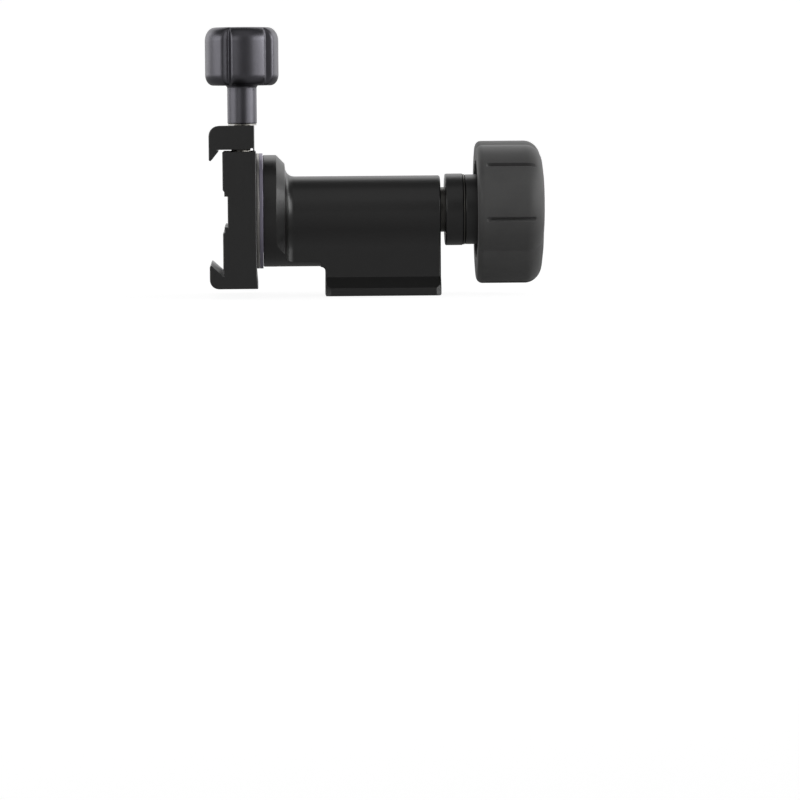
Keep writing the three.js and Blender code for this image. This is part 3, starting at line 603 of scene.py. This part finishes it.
def knob_grip_solid():
    """Rings of r(angle), three arcs centred off the axis, drawn in at both ends along quarter ellipses.

    A groove's depth across is the square root of the share of its half width that is left, and along
    it the square root of a ramp at each end.
    """
    angle = np.arange(knob_sides) * 2 * math.pi / knob_sides
    lobe_step = 2 * math.pi / lobe_count
    first = math.radians(180 + first_lobe)
    turn = (angle - first + lobe_step / 2) % lobe_step - lobe_step / 2
    reach = lobe_offset * np.cos(turn) + np.sqrt(lobe_radius ** 2 - (lobe_offset * np.sin(turn)) ** 2)
    back = arc(0, 0, 1, 180, 90, grip_back_steps)
    front = arc(0, 0, 1, 90, grip_front_end, grip_front_steps)
    flat_left = grip_left + grip_back_curve
    flat_right = grip_high.x - grip_dome - grip_front_curve
    flat = np.linspace(flat_left, flat_right, grip_rings)[1:-1]
    along = [flat_left + grip_back_curve * back[:, 0], flat, flat_right + grip_front_curve * front[:, 0],
        [grip_high.x]]
    inset = [grip_back_inset * (1 - back[:, 1]), 0 * flat, grip_front_inset * (1 - front[:, 1]),
        [grip_dome_inset]]
    along, inset = np.concatenate(along)[:, None], np.concatenate(inset)[:, None]
    off = (np.abs(turn - math.radians(groove_turn)) - math.radians(groove_angle)) * reach
    across = np.clip(1 - np.abs(off) / (groove_width / 2), 0, 1)
    from_start = along - grip_low.x - groove_start
    rise = np.clip(from_start / groove_width, 0, 1)
    fall = np.clip((groove_length - from_start) / (3 * groove_width), 0, 1)
    radius = reach - inset - groove_depth * np.sqrt(across) * np.sqrt(rise * fall)
    around, up = radius * np.cos(angle), axis_height + radius * np.sin(angle)
    body = solid("knob_grip_skin", skin(np.stack([along + 0 * angle, around, up], axis=2)))
    past_low, past_high = grip_left - cutting_overrun, grip_high.x + cutting_overrun
    recess_end = grip_left + grip_recess_depth
    bore = hub_radius + hub_gap
    seat = cap_high.y + cap_gap
    tools = [[(past_low, 0), (past_high, 0), (past_high, bore), (past_low, bore)],
        [(past_low, 0), (recess_end, 0), (recess_end, grip_recess), (past_low, grip_recess)],
        [(cap_low.x, 0), (past_high, 0), (past_high, seat), (cap_low.x, seat)]]
    return carved(body, "DIFFERENCE", [solid("grip_tool", turned_x(profile)) for profile in tools])


finished(knob_grip_solid(), "tilt_knob", rubber, "rubber", "knob_grip")
hub_floor = hub_high.x - hub_recess_depth
hub_profile = rounded([(hub_low.x, axle_radius, hub_edge), (hub_floor, axle_radius, 0),
    (hub_floor, hub_recess, 0), (hub_high.x, hub_recess, 0), (hub_high.x, hub_radius, 0),
    (hub_low.x, hub_radius, hub_edge)], sleeve_edge_steps)
finished(solid("hub_sleeve", turned_x(hub_profile)), "tilt_knob", black_anodised, "black_anodised",
    "knob_hub")
cap_front = cap_high.x - cap_crown
cap_round = arc(cap_front - cap_edge, cap_high.y - cap_edge, cap_edge, 90, 0)
cap_profile = [(cap_low.x, 0), (cap_low.x, cap_high.y), *cap_round, (cap_high.x, 0)]
finished(solid("cap_disc", turned_x(cap_profile)), "tilt_knob", cap_plastic, "black_plastic", "knob_cap")


# Screw and washer on the axle's end
# They keep the knob from being unscrewed off the axle, and lie out of sight under its cap.
bright_steel = machined("bright_steel", (0.55, 0.53, 0.49), 0.28)
dressed(bright_steel, "retaining_washer", "retaining_screw")


# Clamp body
# An extruded aluminium bar, blasted and anodised black. Its lower edge is the fixed dovetail jaw,
# and a screw and two pins in a groove along its face hold it to the axle.
clamp_low, clamp_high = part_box("clamp_body")
clamp_flare = 0.0004
clamp_flare_height = 0.005
clamp_right = clamp_high.x - clamp_flare
clamp_thickness = 0.0103
clamp_face = clamp_right - clamp_thickness
hook_tip_height = 0.00725
hook_root_height = 0.00395
bed_relief_width = 0.0018
bed_relief_depth = 0.00012
hook_tip_width = 0.0004
hook_corner = 0.0028
hook_tip_round = 0.0003
clamp_edge = 0.0003
clamp_end_edge = 0.0002
face_groove_width = 0.0094
face_groove_rise = 0.0003
face_groove_depth = 0.0015
face_lead_width = 0.0014
face_lead_slope = 0.0006
face_lead_depth = 0.0005
bolt_seat_depth = 0.0051
bolt_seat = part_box("clamp_bolt")[0].x + bolt_seat_depth
bolt_seat_radius = 0.0053
bolt_bore = 0.0032
screw_bore = 0.0026
pin_bore = 0.0028
pin_low, pin_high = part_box("guide_pin_front")
pin_x = (pin_low.x + pin_high.x) / 2
pin_y = -(pin_low.y + pin_high.y) / 2
screw_low, screw_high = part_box("clamp_screw")
small_knob_x = (screw_low.x + screw_high.x) / 2
screw_hole_spare = 0.0011
screw_hole_bottom = screw_low.z - screw_hole_spare
spring_gap = 0.0001
pin_hole_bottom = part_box("jaw_spring_front")[0].z - spring_gap
hole_edge = 0.0003


def prism_y(outline, edge=clamp_end_edge, half=None):
    """An outline in X and Z, counter-clockwise from the front, carried along Y, its ends chamfered."""
    half = clamp_high.y if half is None else half
    stations = [(-half, grow(outline, -edge)), (edge - half, outline), (half - edge, outline),
        (half, grow(outline, -edge))]
    return skin(np.array([[(x, y, z) for x, z in ring] for y, ring in stations]))


def hole_z(name, bottom, top, radius, x, y):
    """A drill for an upright hole from its bottom to the surface, with a chamfer at its mouth."""
    wide = radius + hole_edge
    return solid(name, turned_z([(bottom, 0), (bottom, radius), (top - hole_edge, radius), (top, wide),
        (top + cutting_overrun, wide), (top + cutting_overrun, 0)], x, y))


def clamp_body_solid():
    """The bar's outline with its hook and groove, then its screw holes and pin holes."""
    groove = axis_height + face_groove_rise
    half = face_groove_width / 2
    lead = half + face_lead_width
    lead_x, floor_x = clamp_face + face_lead_depth, clamp_face + face_groove_depth
    tip, root = clamp_low.z + hook_tip_height, clamp_low.z + hook_root_height
    relief_x, relief_top = clamp_face + bed_relief_depth, root + bed_relief_width
    outline = rounded([(clamp_low.x, clamp_low.z, hook_corner), (clamp_high.x, clamp_low.z, clamp_edge),
        (clamp_right, clamp_low.z + clamp_flare_height, clamp_edge),
        (clamp_right, clamp_high.z, clamp_edge), (clamp_face, clamp_high.z, clamp_edge),
        (clamp_face, groove + lead + face_lead_slope, 0), (lead_x, groove + lead, 0),
        (lead_x, groove + half, 0), (floor_x, groove + half, 0), (floor_x, groove - half, 0),
        (lead_x, groove - half, 0), (lead_x, groove - lead, 0),
        (clamp_face, groove - lead - face_lead_slope, 0),
        (clamp_face, relief_top, 0), (relief_x, relief_top, 0), (relief_x, root, 0),
        (clamp_face, root, 0), (clamp_low.x + hook_tip_width, tip, 0),
        (clamp_low.x, tip - hook_tip_width, hook_tip_round)])
    body = solid("clamp_bar", prism_y(outline))
    past_left, past_right = clamp_face - cutting_overrun, clamp_high.x + cutting_overrun
    bore_left = bolt_seat - hole_edge
    seat = [(past_left, 0), (bolt_seat, 0), (bolt_seat, bolt_seat_radius), (past_left, bolt_seat_radius)]
    bore = [(bore_left, 0), (past_right, 0), (past_right, bolt_bore), (bore_left, bolt_bore)]
    tools = [solid("bolt_seat", turned_x(seat, bore_sides)), solid("bolt_bore", turned_x(bore, bore_sides)),
        hole_z("screw_bore", screw_hole_bottom, clamp_high.z, screw_bore, small_knob_x, 0)]
    for side in (-1, 1):
        tools.append(hole_z("pin_bore", pin_hole_bottom, clamp_high.z, pin_bore, pin_x, side * pin_y))
    return carved(body, "DIFFERENCE", tools)


finished(clamp_body_solid(), "axle", black_anodised, "black_anodised", "clamp_body")
dressed(bright_steel, "clamp_bolt", "clamp_dowel_front", "clamp_dowel_rear")


# Moving jaw, guide pins and springs
# The upper jaw slides on two steel pins, and a spring under each lifts it when the knob is slackened.
jaw_low, jaw_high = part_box("clamp_jaw")
jaw_height = 0.00735
jaw_bottom = jaw_high.z - jaw_height
jaw_corner = 0.0031
jaw_hook_step = 0.0008
jaw_root_reach = 0.0016
jaw_hook_drop = 0.0035
heel_width = 0.0008
heel_gap = 0.0003
heel_bottom = clamp_high.z + heel_gap
relief_radius = 0.00045
relief_turn = 345
relief_steps = 23


def clamp_jaw_solid():
    """The jaw's outline with its hook and heel, less the heel's relief, the screw's hole and pin seats."""
    root = clamp_face - jaw_root_reach
    tip = jaw_bottom - jaw_hook_drop
    heel = jaw_high.x - heel_width
    outline = rounded([(jaw_low.x, tip + hook_tip_width, hook_tip_round),
        (jaw_low.x + hook_tip_width, tip, 0), (root, jaw_bottom - jaw_hook_step, 0),
        (root, jaw_bottom, 0), (heel, jaw_bottom, 0), (heel, heel_bottom, 0), (jaw_high.x, heel_bottom, 0),
        (jaw_high.x, jaw_high.z, clamp_edge), (jaw_low.x, jaw_high.z, jaw_corner)])
    body = solid("clamp_jaw_bar", prism_y(outline))
    relief = arc(heel, jaw_bottom, relief_radius, 0, relief_turn, relief_steps)
    past_low, past_high = jaw_bottom - cutting_overrun, jaw_high.z + cutting_overrun
    way = [(past_low, 0), (past_high, 0), (past_high, screw_bore), (past_low, screw_bore)]
    seat = [(past_low, 0), (pin_high.z, 0), (pin_high.z, pin_bore), (past_low, pin_bore)]
    tools = [solid("relief", prism_y(relief, 0, clamp_high.y + cutting_overrun)),
        solid("screw_way", turned_z(way, small_knob_x, 0))]
    for side in (-1, 1):
        tools.append(solid("pin_seat", turned_z(seat, pin_x, side * pin_y)))
    return carved(body, "DIFFERENCE", tools)


finished(clamp_jaw_solid(), "jaw", black_anodised, "black_anodised", "clamp_jaw")
dressed(upright_steel, "guide_pin_front", "guide_pin_rear", "jaw_spring_front", "jaw_spring_rear")


# Small knob, its screw and washer
# A turned aluminium knob with five lobes, anodised lavender grey, on a stem of its own. A steel screw
# pressed into the stem draws the jaw down on a bright washer.
knob_low, knob_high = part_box("clamp_knob")
stem_radius = 0.0046
stem_length = 0.012
stem_fillet = 0.0008
stem_edge = 0.0003
small_knob_radius = 0.0115
small_knob_top_edge = 0.0043
small_knob_low_edge = 0.0034
small_knob_draw = 0.75
small_lobes = 5
small_first_lobe = 12
notch_depth = 0.0016
notch_slope = 1.1
notch_bottom = 0.0003
notch_draw = 0.3
notch_blend = 0.0003
lip_spread = 2
under_recess = 0.0012
under_radius = 0.0076
low_edge_steps = 12
top_edge_steps = 16
clamp_washer_low, clamp_washer_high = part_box("clamp_washer")

knob_grey = blasted("knob_grey", (0.138, 0.135, 0.151), (0.3, 0.29, 0.31), 0.36, metallic=1.0,
    grain_scale=6000.0, bump=0.15, wear=0.4)


def small_knob_solid():
    """Rings of r(angle), a circle drawn in at both ends and cut by five V notches, lips and bottoms soft.

    A notch is a branch of a hyperbola whose tip is its bottom. The lesser of circle and notch is taken
    with a smooth turn between them, and a weighted mean of neighbouring angles softens the lips.
    """
    angle = np.arange(knob_sides) * 2 * math.pi / knob_sides
    period = 2 * math.pi / small_lobes
    first = math.radians(small_first_lobe - 90)
    turn = (angle - first) % period - period / 2
    base = knob_low.z + stem_length
    lower = arc(0, 0, small_knob_low_edge, 180, 90, low_edge_steps)
    upper = arc(0, 0, small_knob_top_edge, 90, 0, top_edge_steps)
    up = np.concatenate([base + small_knob_low_edge + lower[:, 0],
        knob_high.z - small_knob_top_edge + upper[:, 0]])
    inset = np.concatenate([small_knob_low_edge - lower[:, 1], small_knob_top_edge - upper[:, 1]])[:, None]
    inset *= small_knob_draw
    steep = math.hypot(1, notch_slope)
    tip = small_knob_radius - notch_depth - notch_bottom - steep * notch_draw * inset
    turned_bottom = notch_bottom + (steep - 1) * notch_draw * inset
    notch = tip + np.sqrt((notch_slope * small_knob_radius * np.sin(turn)) ** 2 + turned_bottom ** 2)
    notch = np.where(np.cos(turn) > 0, notch, 1)
    gap = small_knob_radius - inset - notch
    radius = small_knob_radius - inset - (gap + np.sqrt(gap ** 2 + notch_blend ** 2)) / 2
    shifts = np.arange(-lip_spread, lip_spread + 1)
    share = np.cos(shifts * math.pi / (2 * lip_spread + 2))
    share /= share.sum()
    radius = sum(np.roll(radius, shift, axis=1) * part for shift, part in zip(shifts, share))
    up = up[:, None]
    rings = np.stack([small_knob_x + radius * np.cos(angle), radius * np.sin(angle), up + 0 * angle], axis=2)
    body = solid("small_knob_skin", skin(rings))
    past_base, recess_top = base - cutting_overrun, base + under_recess
    wide = stem_radius + stem_fillet
    under = solid("under", turned_z([(past_base, wide), (recess_top, wide), (recess_top, under_radius),
        (past_base, under_radius)], small_knob_x, 0, round_sides))
    carved(body, "DIFFERENCE", [under])
    fillet = arc(wide, base - stem_fillet, stem_fillet, 180, 90)[:, ::-1]
    top = recess_top + cutting_overrun
    stem = solid("stem", turned_z([(knob_low.z, 0), (knob_low.z, stem_radius - stem_edge),
        (knob_low.z + stem_edge, stem_radius), *fillet, (top, wide), (top, 0)],
        small_knob_x, 0, round_sides))
    past_low, hole_top = knob_low.z - cutting_overrun, knob_low.z + stem_length / 2
    bore = solid("bore", turned_z([(past_low, 0), (hole_top, 0), (hole_top, screw_bore),
        (past_low, screw_bore)], small_knob_x, 0))
    return carved(carved(body, "UNION", [stem]), "DIFFERENCE", [bore])


finished(small_knob_solid(), "clamp_knob", knob_grey, "grey_anodised", "clamp_knob")
dressed(upright_steel, "clamp_screw")
jaw_washer_edge = 0.0001
jaw_washer_profile = rounded([(clamp_washer_low.z, screw_bore, jaw_washer_edge),
    (clamp_washer_high.z, screw_bore, jaw_washer_edge),
    (clamp_washer_high.z, clamp_washer_high.y, jaw_washer_edge),
    (clamp_washer_low.z, clamp_washer_high.y, jaw_washer_edge)], thin_edge_steps)
jaw_washer = solid("jaw_washer", turned_z(jaw_washer_profile, small_knob_x, 0, round_sides))
finished(jaw_washer, "jaw", upright_steel, "steel", "clamp_washer")


# Studio
# A pale paper floor and a backdrop that curves up from it, soft lamps at both sides, and weaker ones
# in front, behind and above.
floor_half = 2.5
sweep_start = 0.9
sweep_radius = 0.8
sweep_steps = 24
backdrop_height = 2.2
world_light = 0.13
lamp_distance = 1.1


def strip_y(name, profile):
    """A smooth surface with a profile in Y and Z, carried along X."""
    rings = np.array([[(x, y, z) for y, z in profile] for x in (-floor_half, floor_half)])
    columns = len(profile)
    place = np.arange(2 * columns).reshape(2, columns)
    faces = np.stack([place[0, :-1], place[1, :-1], place[1, 1:], place[0, 1:]], axis=1).tolist()
    mesh = bpy.data.meshes.new(name)
    mesh.from_pydata(rings.reshape(-1, 3).tolist(), [], faces)
    mesh.shade_smooth()
    made = bpy.data.objects.new(name, mesh)
    bpy.context.scene.collection.objects.link(made)
    return made


def paper(name, tone, glow, reflected):
    """Matt pale paper that also glows for the camera, and by a share of that in reflections."""
    material = bpy.data.materials.new(name)
    material.use_nodes = True
    tree = material.node_tree
    shader = tree.nodes["Principled BSDF"]
    shader.inputs["Base Color"].default_value = (tone, tone, tone, 1)
    shader.inputs["Roughness"].default_value = 0.9
    shader.inputs["Emission Color"].default_value = (1, 1, 1, 1)
    path = node(tree, "ShaderNodeLightPath")
    other = node(tree, "ShaderNodeMath",
        {0: path.outputs["Is Glossy Ray"], 1: path.outputs["Is Transmission Ray"]}, operation="MAXIMUM")
    weaker = node(tree, "ShaderNodeMath", {0: other.outputs[0], 1: reflected}, operation="MULTIPLY")
    seen = node(tree, "ShaderNodeMath",
        {0: path.outputs["Is Camera Ray"], 1: weaker.outputs[0]}, operation="MAXIMUM")
    strength = node(tree, "ShaderNodeMath", {0: seen.outputs[0], 1: glow}, operation="MULTIPLY")
    tree.links.new(strength.outputs[0], shader.inputs["Emission Strength"])
    return material


sweep_curve = arc(sweep_start, sweep_radius, sweep_radius, 270, 360, sweep_steps)
floor = strip_y("studio_floor", [(-floor_half, 0), (sweep_start, 0)])
floor.data.materials.append(paper("floor_paper", tone=0.25, glow=0.9, reflected=0.14))
backdrop = strip_y("studio_backdrop", [*sweep_curve, (sweep_start + sweep_radius, backdrop_height)])
backdrop.data.materials.append(paper("backdrop_paper", tone=0.4, glow=0.9, reflected=1.0))

world = bpy.data.worlds.new("studio")
world.use_nodes = True
world.node_tree.nodes["Background"].inputs["Color"].default_value = (1, 1, 1, 1)
world.node_tree.nodes["Background"].inputs["Strength"].default_value = world_light
bpy.context.scene.world = world

middle = Vector((0, 0, axis_height))


def lamp(name, azimuth, elevation, width, height, radiance):
    """A rectangular soft lamp that faces the object, its azimuth counted from the front to the right."""
    turn, rise = math.radians(azimuth), math.radians(elevation)
    away = Vector((math.sin(turn) * math.cos(rise), -math.cos(turn) * math.cos(rise), math.sin(rise)))
    data = bpy.data.lights.new(name, "AREA")
    data.shape = "RECTANGLE"
    data.size = width
    data.size_y = height
    data.energy = math.pi * width * height * radiance
    made = bpy.data.objects.new(name, data)
    made.location = middle + lamp_distance * away
    made.rotation_euler = (-away).to_track_quat("-Z", "Y").to_euler()
    made.visible_camera = False
    bpy.context.scene.collection.objects.link(made)


lamp("lamp_right", 82, 12, 0.7, 0.6, 3.2)
lamp("lamp_right_rear", 125, 14, 0.6, 0.7, 1.0)
lamp("lamp_right_front", 50, 14, 0.6, 0.6, 1.9)
lamp("lamp_left", 283, 12, 1.0, 0.6, 1.8)
lamp("lamp_left_rear", 235, 14, 0.6, 0.7, 0.9)
lamp("lamp_front_left", 335, 16, 0.5, 0.5, 1.0)
lamp("lamp_front_top", 0, 55, 0.9, 1.0, 0.2)
lamp("lamp_rear_top", 180, 44, 1.2, 0.6, 0.4)


# Camera
# It stands level with the clamp's top, opposite the clamp, and looks a little down and to the right,
# with the slight roll of the photograph.
camera_place = Vector((-0.03871, -1.47745, 0.05432))
camera_target = Vector((0.00504, 0, -0.03308))
frame_width = 0.25073
camera_roll = -0.444

camera_data = bpy.data.cameras.new("camera")
camera_data.sensor_width = 36
camera_data.lens = camera_data.sensor_width * (camera_target - camera_place).length / frame_width
camera_data.clip_end = 20
camera = bpy.data.objects.new("camera", camera_data)
aim = (camera_target - camera_place).to_track_quat("-Z", "Y").to_matrix().to_4x4()
roll = Matrix.Rotation(math.radians(camera_roll), 4, "Z")
camera.matrix_world = Matrix.Translation(camera_place) @ aim @ roll
bpy.context.scene.collection.objects.link(camera)
bpy.context.scene.camera = camera
bpy.context.scene.view_settings.view_transform = "Standard"
